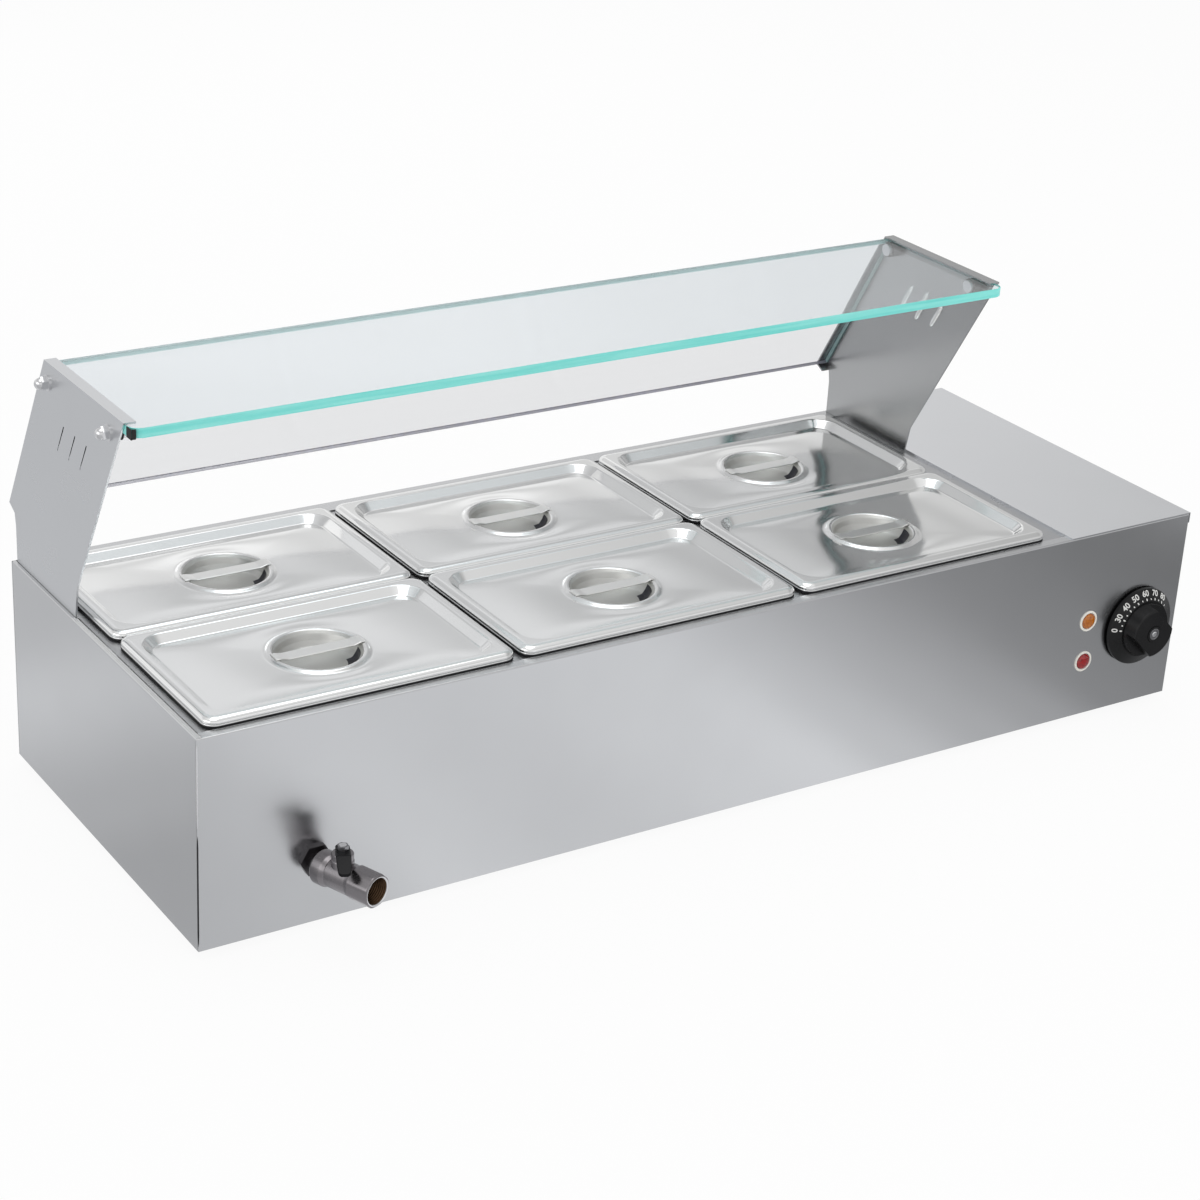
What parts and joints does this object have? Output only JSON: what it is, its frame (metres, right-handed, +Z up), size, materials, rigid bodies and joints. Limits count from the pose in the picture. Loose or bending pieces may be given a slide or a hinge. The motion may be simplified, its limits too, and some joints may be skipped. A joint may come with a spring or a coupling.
{
  "type": "bain-marie",
  "caption": "Electric countertop bain-marie with lidded gastronorm pans in two rows, a glass sneeze guard, a thermostat knob and a drain tap.",
  "frame": {"origin": "on the plane that the feet rest on, under the middle of the whole object's length and depth, tap and gland included", "axes": "+X to the right along the front, +Y from the front to the back, +Z up"},
  "size_m": [0.988, 0.4392, 0.386],
  "materials": {
    "panel_steel": "satin, brushed along the length",
    "tank_steel": "satin",
    "pan_steel": "polished rim, satin inside",
    "lid_steel": "bright satin",
    "element_steel": "satin, heat toned",
    "bright_metal": "polished",
    "tap_metal": "satin nickel",
    "brass": "satin",
    "lever_coating": "satin black",
    "rubber": "matte",
    "guard_glass": "clear with green edges",
    "knob_plastic": "satin black",
    "amber_lens": "clear amber",
    "red_lens": "clear red",
    "pale_plastic": "matte",
    "phenolic": "matte",
    "gland_plastic": "matte"
  },
  "bodies": {
    "cabinet": {"front_panel": "panel_steel", "rear_panel": "panel_steel", "left_panel": "panel_steel", "right_panel": "panel_steel", "base_plate": "panel_steel", "deck_frame": "panel_steel", "water_tank": "tank_steel", "pan_grid": "tank_steel", "control_cover": "panel_steel", "bulkhead": "panel_steel", "feet": "rubber", "foot_screws": "bright_metal", "left_guard_plate": "panel_steel", "right_guard_plate": "panel_steel", "top_glass": "guard_glass", "rear_glass": "guard_glass", "glass_sleeves": "rubber", "guard_bolts": "bright_metal", "cap_nuts": "bright_metal", "guard_screws": "bright_metal", "heating_element": "element_steel", "element_flanges": "brass", "element_nuts": "bright_metal", "thermostat_body": "phenolic", "thermostat_bulb": "element_steel", "lamp_bezels": "bright_metal", "amber_lens": "amber_lens", "red_lens": "red_lens", "lamp_bodies": "pale_plastic", "terminal_block": "pale_plastic", "cable_gland": "gland_plastic", "drain_pipe": "brass", "drain_lock_nut": "brass", "tap_body": "tap_metal"},
    "thermostat_knob": {"spindle": "bright_metal", "knob_dial": "knob_plastic", "knob_grip": "knob_plastic", "knob_screw": "bright_metal"},
    "drain_handle": {"tap_ball": "bright_metal", "tap_stem": "brass", "tap_lever": "lever_coating", "lever_nut": "bright_metal"},
    "pan_front_left": {"pan_front_left": "pan_steel"},
    "lid_front_left": {"lid_front_left": "lid_steel", "handle_front_left": "lid_steel"},
    "pan_front_middle": {"pan_front_middle": "pan_steel"},
    "lid_front_middle": {"lid_front_middle": "lid_steel", "handle_front_middle": "lid_steel"},
    "pan_front_right": {"pan_front_right": "pan_steel"},
    "lid_front_right": {"lid_front_right": "lid_steel", "handle_front_right": "lid_steel"},
    "pan_back_left": {"pan_back_left": "pan_steel"},
    "lid_back_left": {"lid_back_left": "lid_steel", "handle_back_left": "lid_steel"},
    "pan_back_middle": {"pan_back_middle": "pan_steel"},
    "lid_back_middle": {"lid_back_middle": "lid_steel", "handle_back_middle": "lid_steel"},
    "pan_back_right": {"pan_back_right": "pan_steel"},
    "lid_back_right": {"lid_back_right": "lid_steel", "handle_back_right": "lid_steel"}
  },
  "joints": [
    {"name": "knob_turn", "type": "hinge", "parent": "cabinet", "child": "thermostat_knob", "pos_m": [0.4455, -0.16243, 0.0865], "axis": [0, 1, 0], "range_deg": [0, 270]},
    {"name": "drain_handle_turn", "type": "hinge", "parent": "cabinet", "child": "drain_handle", "pos_m": [-0.38253, -0.18176, 0.0825], "axis": [0, 0, 1], "range_deg": [-46, 44]},
    {"name": "pan_front_left_lift", "type": "slide", "parent": "cabinet", "child": "pan_front_left", "axis": [0, 0, 1], "range_m": [0, 0.105]},
    {"name": "lid_front_left_lift", "type": "slide", "parent": "pan_front_left", "child": "lid_front_left", "axis": [0, 0, 1], "range_m": [0, 0.055]},
    {"name": "pan_front_middle_lift", "type": "slide", "parent": "cabinet", "child": "pan_front_middle", "axis": [0, 0, 1], "range_m": [0, 0.105]},
    {"name": "lid_front_middle_lift", "type": "slide", "parent": "pan_front_middle", "child": "lid_front_middle", "axis": [0, 0, 1], "range_m": [0, 0.055]},
    {"name": "pan_front_right_lift", "type": "slide", "parent": "cabinet", "child": "pan_front_right", "axis": [0, 0, 1], "range_m": [0, 0.105]},
    {"name": "lid_front_right_lift", "type": "slide", "parent": "pan_front_right", "child": "lid_front_right", "axis": [0, 0, 1], "range_m": [0, 0.055]},
    {"name": "pan_back_left_lift", "type": "slide", "parent": "cabinet", "child": "pan_back_left", "axis": [0, 0, 1], "range_m": [0, 0.03]},
    {"name": "lid_back_left_lift", "type": "slide", "parent": "pan_back_left", "child": "lid_back_left", "axis": [0, 0, 1], "range_m": [0, 0.036]},
    {"name": "pan_back_middle_lift", "type": "slide", "parent": "cabinet", "child": "pan_back_middle", "axis": [0, 0, 1], "range_m": [0, 0.03]},
    {"name": "lid_back_middle_lift", "type": "slide", "parent": "pan_back_middle", "child": "lid_back_middle", "axis": [0, 0, 1], "range_m": [0, 0.036]},
    {"name": "pan_back_right_lift", "type": "slide", "parent": "cabinet", "child": "pan_back_right", "axis": [0, 0, 1], "range_m": [0, 0.03]},
    {"name": "lid_back_right_lift", "type": "slide", "parent": "pan_back_right", "child": "lid_back_right", "axis": [0, 0, 1], "range_m": [0, 0.036]}
  ]
}
